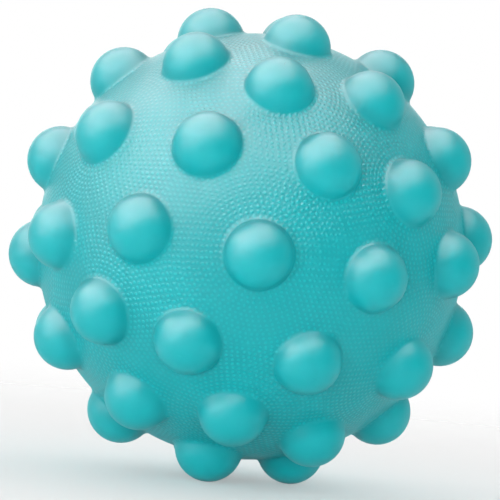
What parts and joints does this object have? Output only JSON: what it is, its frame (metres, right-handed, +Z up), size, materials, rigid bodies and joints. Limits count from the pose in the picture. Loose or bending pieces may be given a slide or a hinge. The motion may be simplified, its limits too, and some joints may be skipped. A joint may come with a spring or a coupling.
{
  "type": "knobbed sensory ball",
  "caption": "Hollow soft vinyl ball covered with round knobs, with a recessed needle valve and a pull-out stopper for inflating it.",
  "frame": {"origin": "centre of the ball", "axes": "+Z up, with the ball standing on three neighbouring knobs; +Y from the front knob through the centre to the back knob, and also the longest extent; +X to the right when the ball is seen along +Y"},
  "size_m": [0.0994, 0.1, 0.0966],
  "materials": {
    "knobbed_skin": "satin soft vinyl, smooth on the knobs, with rows of small raised dots between them",
    "socket_vinyl": "satin soft vinyl",
    "valve_rubber": "matt natural rubber",
    "stopper_vinyl": "satin moulded vinyl"
  },
  "bodies": {
    "ball": {"ball_shell": "knobbed_skin", "valve_socket": "socket_vinyl", "needle_valve": "valve_rubber"},
    "stopper": {"valve_stopper": "stopper_vinyl"}
  },
  "joints": [
    {"name": "stopper_pull", "type": "slide", "parent": "ball", "child": "stopper", "axis": [-0.0107, 0.9486, 0.3163], "range_m": [0, 0.045]}
  ]
}
